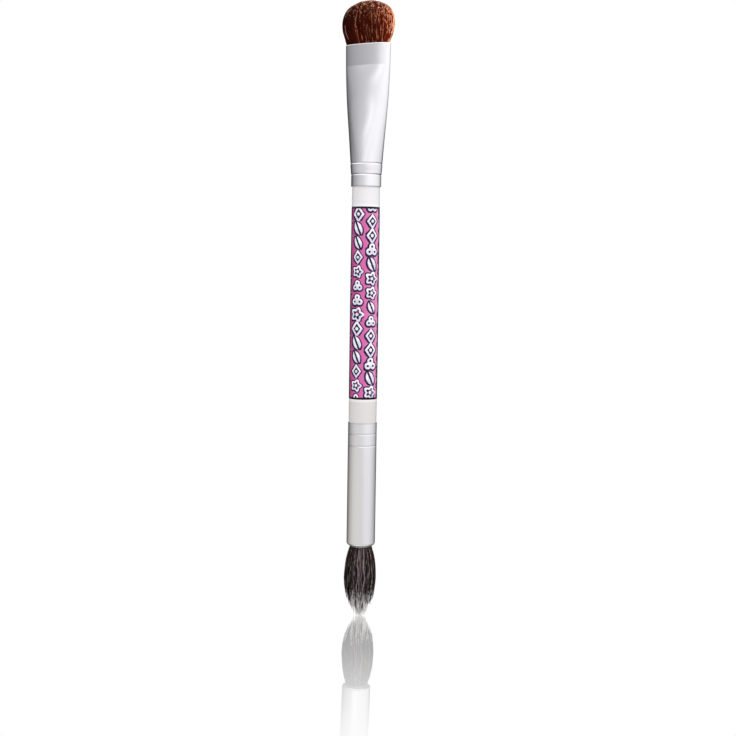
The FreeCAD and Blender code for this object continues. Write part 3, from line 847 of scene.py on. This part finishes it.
def shader_hairs(name, count, least_station, drawn_length):
    """A share of the shader tuft's hairs. A hair keeps its station s, its share of the way out in
    the oval, as it rises, and bends in under the dome's share d at its height as
    s / (1 + (s / d)^k - s^k)^(1 / k). The outer ones follow the dome a little before they end.
    Hairs lean to their lock, weave in and out, and sway. A few are light, and more of them
    towards the shown right, which is painted light; all are darker on the shown left, and dim at
    the right's very edge, which is painted shade.
    Ends are pale in patches. Only the last drawn_length of a hair is made."""
    station = np.sqrt(rng.uniform(least_station ** 2, 1, count))
    bearing = any_turn(count)
    lock, lean = own_lock(bearing, HEAD_LOCKS)
    touch = superellipse(station)
    wrap = rng.uniform(0, 0.6, count) * step(station, 0.5, 1)
    reach = np.clip(touch + wrap * (1 - touch), 0, 0.985) - rng.uniform(-0.015, 0.06, count)
    end = HEAD_RISE + DOME_REACH * np.clip(reach, 0.02, 1)
    start = np.maximum(end - drawn_length, -HEAD_ROOT_DEPTH)
    share = np.linspace(0, 1, STRAND_ROWS)
    h = start[:, None] + (end - start)[:, None] * share

    width, thickness = head_sizes(h)
    weave = np.sin(h * rng.uniform(0.8, 1.8, (count, 1)) + any_turn(count, 1))
    own = np.minimum(station[:, None] * (0.993 + 0.009 * weave), 1)
    crowding = 1 + (own / dome_share(h)) ** DOME_SHARPNESS - own ** DOME_SHARPNESS
    stay = own / crowding ** (1 / DOME_SHARPNESS)
    turned = bearing[:, None] + lean[:, None] * np.clip(h / HEAD_REACH, 0, 1)
    phase = any_turn(count, 1)
    sway = HEAD_SWAY * np.clip(h / 4, 0, 1) * np.sin(h * rng.uniform(0.5, 1.1, (count, 1)) + phase)
    lines = np.stack([width * stay * np.cos(turned) + sway,
                      thickness * stay * np.sin(turned) + sway * 0.5,
                      SHADER_MOUTH + h], axis=-1)

    # Painted light and shade: the hairs' tone and the share of light ones rise towards the shown
    # right, and they are darker on the shown left and dim at the right's very edge.
    towards_lit_side = np.array([np.cos(SHOWN_TURN), np.sin(SHOWN_TURN), 0])
    lit_side = lines[:, STRAND_ROWS // 2] @ towards_lit_side / HEAD_HALF_WIDTH
    light_share = 0.05 * (1 + np.clip(lit_side, -1, 0)) + 0.4 * np.clip(lit_side, 0, 1) ** 2
    light = rng.uniform(0, 1, count) < light_share
    tone = HEAD_LOCK_TONES[lock] * 0.04 + rng.uniform(0.05, 0.49, count) + 0.1 * lit_side
    tone = np.where(light, rng.uniform(0.7, 1.25, count), tone)
    tone -= 0.3 * step(-lit_side, 0.4, 1.0) + 0.2 * step(lit_side, 0.85, 1.0)
    radii = rng.uniform(*HEAD_HAIR_RADII, count)[:, None] * (1 - 0.4 * share ** 3)
    picked = in_picked_cells(lines[:, -1], HEAD_PALE_CELL, HEAD_PALE_SHARE)
    pale = picked * rng.uniform(0.6, 1, count)
    strands(name, lines, radii, tone, pale, BROWN_HAIR)


def shader_core():
    """The dark mass that the outer hairs lie on, painted shade between them: the head's own form,
    drawn in and a little lower than the hairs' ends."""
    thinner, lower = 0.12, 0.35
    h = np.concatenate([np.linspace(-2.5, HEAD_RISE, 16),
                        HEAD_RISE + DOME_REACH * np.sin(np.linspace(0.1, np.pi / 2, 14))])
    width, thickness = head_sizes(h)
    drawn = HEAD_CORE_SHARE * dome_share(h)
    heights = SHADER_MOUTH + h - lower * np.clip(h / HEAD_REACH, 0, 1)
    swept("shader_hair_core", width * drawn, (thickness - thinner) * drawn, heights, BROWN_SHADOW,
          "shader_tuft", columns=96)


# The crease tuft. Its outline is (height, how far out the outermost hair lies) pairs, and its
# locks end on (share of the way out, height) pairs.
CREASE_OUTLINE = np.array([
    (-0.5, 3.05), (2.0, 3.45), (3.8, 3.75), (5.0, 3.95), (6.5, 4.2), (8.0, 4.42), (9.5, 4.6),
    (11.0, 4.68), (12.5, 4.64), (14.0, 4.54), (15.5, 4.4), (17.0, 4.16), (18.34, 3.86),
    (19.24, 3.62), (19.83, 3.46), (20.28, 3.26), (20.55, 2.98), (20.7, 2.85), (24.0, 2.8),
])
CREASE_TIPS = np.array([
    (0, 0), (0.25, 0.5), (0.44, 0.9), (0.6, 1.6), (0.67, 2.3), (0.74, 3.0), (0.9, 4.3),
    (0.98, 5.7), (1.0, 6.5),
])
CREASE_FULLNESS = 1.012
CREASE_ROOT_DEPTH = 2.2
CREASE_LEAN = 0.14
CREASE_WAVE = 0.24
CREASE_FINE_WAVE = 0.05
CREASE_HAIR_RADII = (0.045, 0.07)


def crease_spread(z):
    """How far out the outermost hair of the crease tuft lies, as if none had ended yet."""
    return CREASE_FULLNESS * np.interp(z, *CREASE_OUTLINE.T)


def crease_hairs(name, count, locks, stations, depth_shade):
    """A share of the crease tuft's hairs, in locks between two stations, which are shares of the
    way out. A hair lies within a disc round its lock's middle, which narrows as it runs down; it
    is as far out as the tuft's spread times its station, swings sideways as a sine, and the whole
    tuft bulges a little to the shown left. The outer locks end higher up than the inner ones, so
    that the tuft closes to a soft ragged point. It is darker on its shown left and right, which is
    painted shade, about a third of the locks have no pale ends, and the last argument darkens the
    hairs that lie deeper, as painted shade between them."""
    lock_station = np.sqrt(rng.uniform(stations[0] ** 2, stations[1] ** 2, locks))
    lock_bearing = (rng.permutation(locks) + rng.uniform(-0.25, 0.25, locks)) * 2 * np.pi / locks
    lock_tip = np.interp(lock_station, *CREASE_TIPS.T)
    lock_tip = lock_tip + rng.uniform(-0.8, 1.8, locks) * step(lock_tip, -0.8, 1.5)
    lock_phase = any_turn(locks, 1)
    lock_turns = rng.uniform(0.7, 1.1, (locks, 1))
    lock_tone = rng.uniform(0.0, 1.0, locks) ** 1.2
    # Painted shade: locks on the shown left and right are darker.
    lock_tone -= 0.45 * step(np.abs(np.cos(lock_bearing - SHOWN_TURN)), 0.6, 1.0)
    lock_pale = np.where(rng.uniform(0, 1, locks) < 0.34, 0.05, rng.uniform(0.85, 1.15, locks))

    own = rng.integers(0, locks, count)
    half_width = min(np.pi / locks * (stations[0] + stations[1]) / 2, 0.3) * 0.8
    offset_r = half_width * np.sqrt(rng.uniform(0, 1, count))
    offset_a = any_turn(count)
    tip = np.clip(lock_tip[own] + rng.exponential(1.3, count) - 0.7, 0.02, 14)
    share = np.linspace(0, 1, STRAND_ROWS) ** 0.9
    top = CREASE_MOUTH + CREASE_ROOT_DEPTH
    z = top + (tip - top)[:, None] * share

    spread = crease_spread(z)
    gather = 1 - 0.25 * step(-z, -15, -2)
    radial = lock_station[own][:, None] + (offset_r * np.cos(offset_a))[:, None] * gather * 0.7
    radial += 0.025 * np.sin(z * 1.7 * lock_turns[own] + 3 * lock_phase[own]) - 0.02
    radial += 0.01 * np.sin(z * 2.3 + any_turn(count, 1))
    radial = np.clip(radial, 0, 0.99)
    free = np.clip((CREASE_MOUTH - z) / 6, 0, 1)
    wave = CREASE_WAVE * free * np.sin(z * lock_turns[own] + lock_phase[own])
    fine = CREASE_FINE_WAVE * free * np.sin(z * 2.1 + any_turn(count, 1))
    sideways = (spread * (offset_r * np.sin(offset_a))[:, None] * gather
                + wave * lock_station[own][:, None] + fine)
    out = np.sqrt(np.maximum((spread * radial) ** 2 - sideways ** 2, 0.0))
    lean = CREASE_LEAN * np.exp(-((z - 9) / 5) ** 2)
    cos, sin = np.cos(lock_bearing[own])[:, None], np.sin(lock_bearing[own])[:, None]
    lines = np.stack([out * cos - sideways * sin - lean * np.cos(SHOWN_TURN),
                      out * sin + sideways * cos - lean * np.sin(SHOWN_TURN), z], axis=-1)

    radii = rng.uniform(*CREASE_HAIR_RADII, (count, 1)) * (1 - 0.8 * share ** 2.5)
    # The depth factor is painted shade on the hairs that lie deeper.
    tone = (lock_tone[own] * 0.85 + rng.uniform(-0.1, 0.3, count)) * depth_shade
    pale = lock_pale[own] * rng.uniform(0.88, 1, count)
    strands(name, lines, radii, tone, pale, GREY_HAIR)


def crease_core():
    """The dark mass inside the crease tuft, painted shade between its locks, well within them: a
    share of their outline that shrinks as a square root towards its foot."""
    foot, shrinking, full_share = 4.0, 6.0, 0.72
    z = np.concatenate([[4.2, 4.6, 5.4], np.linspace(6.5, CREASE_MOUTH + 2, 22)])
    radius = crease_spread(z) * full_share * np.sqrt(np.clip((z - foot) / shrinking, 0.01, 1))
    swept("crease_hair_core", radius, radius, z, GREY_SHADOW, "crease_tuft",
          columns=64)


barrel()
film()
crease_ferrule()
shader_ferrule()
shader_core()
for k in range(3):
    shader_hairs(f"shader_hair_outer_{k + 1}", 2200, least_station=0.86, drawn_length=16.0)
for k in range(3):
    shader_hairs(f"shader_hair_inner_{k + 1}", 2600, least_station=0.0, drawn_length=4.5)
crease_core()
crease_hairs("crease_hair_outer_1", 3000, locks=110, stations=(0.96, 1.0), depth_shade=1.0)
crease_hairs("crease_hair_outer_2", 3000, locks=100, stations=(0.86, 0.97), depth_shade=0.4)
crease_hairs("crease_hair_middle", 3000, locks=90, stations=(0.5, 0.86), depth_shade=0.2)
crease_hairs("crease_hair_inner", 1800, locks=60, stations=(0.0, 0.5), depth_shade=0.2)


# The camera

VIEW_DISTANCE = 380.0
VIEW_HEIGHT = 103.0
VIEW_ASIDE = 1.36
VIEW_PITCH = math.radians(4.5)
VIEW_ROLL = math.radians(0.89)
LENS = 64.08
SENSOR_WIDTH = 36.0
away = Vector((math.sin(SHOWN_TURN), -math.cos(SHOWN_TURN), 0))
right = Vector((math.cos(SHOWN_TURN), math.sin(SHOWN_TURN), 0))


def studio_camera():
    """The camera stands off the shown side, looks down a little and is rolled a little."""
    data = bpy.data.cameras.new("studio_camera")
    data.sensor_width = SENSOR_WIDTH
    data.lens = LENS
    data.clip_start = 10 * MM
    camera = new_object("studio_camera", data)
    stand = away * VIEW_DISTANCE + right * VIEW_ASIDE + Vector((0, 0, VIEW_HEIGHT))
    camera.matrix_world = (Matrix.Translation(stand * MM) @ Matrix.Rotation(SHOWN_TURN, 4, "Z")
                           @ Matrix.Rotation(math.pi / 2 - VIEW_PITCH, 4, "X")
                           @ Matrix.Rotation(VIEW_ROLL, 4, "Z"))
    bpy.context.scene.camera = camera


# The studio. A ring of light is its brightness at bearings in degrees from the camera's. Heights
# in the surroundings are the sines of elevations. RINGS gives, from low to high, the heights
# between which each ring takes over from the one below it; SPREADS gives the even light that
# then takes over: the heights, how far it does so, and its colour.
BACK_LEFT = (-180, 1.0), (-174, 1.0), (-171, 0.02), (-160, 0.02)
BACK_RIGHT = (160, 0.02), (171, 0.02), (174, 1.0), (180, 1.0)
LOWER_RING = ((-128, 0.33), (-100, 0.61), (-78, 0.79), (-60, 0.88), (-40, 0.90), (10, 0.88),
              (22, 0.97), (58, 1.01), (78, 0.93), (100, 0.75), (128, 0.45))
RINGS = (
    ((-0.15, -0.05), (
        (-135, 0.12), (-108, 0.42), (-86, 0.56), (-60, 0.75), (-40, 0.84), (-30, 0.85),
        (-16, 0.90), (-2, 1.06), (12, 1.22), (36, 1.33), (68, 1.25), (95, 1.15), (120, 0.9),
        (145, 0.25))),
    ((0.095, 0.14), (
        (-135, 0.12), (-105, 0.27), (-60, 0.41), (-42, 0.50), (-34, 0.75), (-27, 1.15),
        (-12, 1.45), (30, 1.5), (80, 1.35), (105, 1.1), (130, 0.5))),
    ((0.165, 0.19), (
        (-135, 0.28), (-100, 0.54), (-80, 0.66), (-60, 0.80), (-42, 0.86), (-28, 0.86),
        (-14, 0.92), (0, 1.12), (12, 1.30), (60, 1.5), (90, 1.32), (115, 0.95), (140, 0.35))),
    ((0.205, 0.24), (
        (-135, 0.22), (-100, 0.46), (-80, 0.60), (-60, 0.77), (-52, 0.91), (-47, 1.10),
        (-42, 1.34), (-37, 1.52), (-31, 1.64), (-24, 1.66), (-8, 1.6), (12, 1.42), (60, 1.25),
        (90, 1.1), (115, 0.85), (140, 0.3))),
    ((0.265, 0.3), (
        (-135, 0.20), (-100, 0.42), (-87, 0.57), (-78, 0.62), (-70, 0.65), (-58, 0.68),
        (-43, 0.68), (-37, 0.73), (-32, 0.84), (-27, 1.06), (-20, 1.28), (-12, 1.40),
        (7, 1.34), (29, 1.16), (90, 1.02), (115, 0.85), (140, 0.3))),
)
SPREADS = (
    ((0.328, 0.352), 0.85, (1.03, 1.03, 1.05)),
    ((0.42, 0.58), 1.0, (1.7, 1.7, 1.72)),
    ((0.85, 0.97), 1.0, (0.8, 0.8, 0.81)),
)
UNDER_RING = (-180, 0.15), (-112, 0.2), (-78, 1.0), (78, 1.0), (112, 0.2), (180, 0.15)
SOFT_RING = ((-180, 0.2), (-125, 0.35), (-85, 0.90), (-45, 1.15), (45, 1.15), (75, 0.95),
             (110, 0.45), (140, 0.25), (180, 0.2))


def studio_world():
    """White to the camera. What shines in the brush is a stack of rings of soft panels, each with
    its own brightness round the brush, under an even top and over the floor's glow; a strip
    behind the brush is white, for the floor to mirror. What lights its matt parts is one softer
    ring between an even top and bottom."""
    warm_tint, cool_tint = (1.0, 0.98, 0.96), (1.0, 0.99, 1.03)
    floor_far, floor_near, floor_dark = (0.72, 0.71, 0.70), (1.15, 1.14, 1.13), (0.1, 0.1, 0.1)
    soft_top, soft_bottom = (1.2, 1.2, 1.2), (1.1, 1.1, 1.1)
    world = bpy.data.worlds.new("studio")
    bpy.context.scene.world = world
    world.use_nodes = True
    paint = Paint(world.node_tree)
    x, y, z = paint.parts(paint.node("ShaderNodeTexCoord", {}, {}, output="Generated"))
    bearing = ((x.angle(-y) - SHOWN_TURN) / (2 * math.pi) + 0.5) % 1.0

    def ring(stops):
        """A ramp round the horizon; each stop is degrees from the camera's own bearing."""
        return paint.node("ShaderNodeValToRGB", {"stops": [
            (degrees / 360 + 0.5, level) for degrees, level in stops]}, {0: bearing})

    light = ring((*BACK_LEFT, *LOWER_RING, *BACK_RIGHT))
    light = paint.mix((bearing - 0.5).ramp(-0.15, 0.15), paint.scaled(light, warm_tint),
                      paint.scaled(light, cool_tint))
    for heights, stops in RINGS:
        light = paint.mix(z.ramp(*heights), light, ring((*BACK_LEFT, *stops, *BACK_RIGHT)))
    for heights, share, colour in SPREADS:
        light = paint.mix(z.ramp(*heights, 0.0, share), light, colour)
    glow = paint.mix(z.ramp(-0.9, -0.6, 1, 0), floor_far, floor_near)
    glow = paint.mix(ring(UNDER_RING), floor_dark, glow)
    light = paint.mix(z.ramp(-0.55, -0.28, 1, 0), light, glow)

    soft = paint.mix(z.ramp(0.3, 0.8), ring(SOFT_RING), soft_top)
    soft = paint.mix(z.ramp(-0.8, -0.3, 0.8, 0), soft, soft_bottom)
    diffuse_ray = paint.node("ShaderNodeLightPath", {}, {}, output="Is Diffuse Ray")
    camera_ray = paint.node("ShaderNodeLightPath", {}, {}, output="Is Camera Ray")
    colour = paint.mix(camera_ray, paint.mix(diffuse_ray, light, soft), (1, 1, 1))
    sky = paint.node("ShaderNodeBackground", {}, {"Color": colour, "Strength": 1.0})
    paint.node("ShaderNodeOutputWorld", {}, {"Surface": sky})


FLOOR_HALF_SIZE = 3000.0
FLOOR_DROP = 0.02
MIRROR_SHARE = 0.67
MIRROR_REACH = 150
MIRROR_EDGE = (12, 26)


def studio_floor():
    """A white floor just under the tip, clear from below, which only the camera sees. A narrow
    strip of it through the foot of the brush, along the view, mirrors; the sheen fades to
    nothing with the distance. The floor lies square to the picture's upright."""
    mesh = bpy.data.meshes.new("studio_floor")
    mesh.from_pydata([(-1, -1, 0), (1, -1, 0), (1, 1, 0), (-1, 1, 0)], [], [(0, 1, 2, 3)])
    mesh.transform(Matrix.Scale(FLOOR_HALF_SIZE * MM, 4))
    mesh.transform(Matrix.Rotation(-VIEW_ROLL, 4, away))
    mesh.transform(Matrix.Translation((0, 0, -FLOOR_DROP * MM)))
    material, paint = new_material("pale_floor")
    _, x, y, _ = paint.place()
    along = abs(x * away[0] + y * away[1])
    aside = abs(x * right[0] + y * right[1])
    sheen = along.ramp(0, MIRROR_REACH, MIRROR_SHARE, 0.0) * aside.ramp(*MIRROR_EDGE, 1, 0)
    white = paint.node("ShaderNodeEmission", {}, {"Color": (1, 1, 1, 1), "Strength": 1.0})
    mirror = paint.node("ShaderNodeBsdfGlossy", {}, {"Color": (1, 1, 1, 1), "Roughness": 0.03})
    top = paint.node("ShaderNodeMixShader", {}, {0: sheen, 1: white, 2: mirror})
    clear = paint.node("ShaderNodeBsdfTransparent", {}, {})
    from_below = paint.node("ShaderNodeNewGeometry", {}, {}, output="Backfacing")
    either = paint.node("ShaderNodeMixShader", {}, {0: from_below, 1: top, 2: clear})
    paint.node("ShaderNodeOutputMaterial", {}, {"Surface": either})
    mesh.materials.append(material)
    floor = new_object("studio_floor", mesh)
    floor.visible_glossy = False
    floor.visible_diffuse = False
    floor.visible_shadow = False


def softbox(name, bearing, height, distance, size, power, aimed_at, spread):
    """A square soft light aimed at a height of the brush. bearing is from the camera's and spread
    is the angle of the beam, both in degrees; power is in watts."""
    turn = SHOWN_TURN + math.radians(bearing)
    place = Vector((math.sin(turn) * distance, -math.cos(turn) * distance, height)) * MM
    target = Vector((0, 0, aimed_at)) * MM
    lamp = bpy.data.lights.new(name, "AREA")
    lamp.shape = "SQUARE"
    lamp.size = size * MM
    lamp.spread = math.radians(spread)
    lamp.energy = power
    made = new_object(name, lamp)
    made.visible_glossy = False
    aim = (target - place).to_track_quat("-Z", "Y").to_matrix().to_4x4()
    made.matrix_world = Matrix.Translation(place) @ aim


studio_camera()
studio_world()
studio_floor()
softbox("key_softbox", bearing=55, height=560, distance=380, size=260, power=1.1, aimed_at=110,
        spread=180)
softbox("tuft_softbox", bearing=76, height=205, distance=150, size=40, power=0.02, aimed_at=177,
        spread=17)
bpy.context.scene.view_settings.view_transform = "Standard"
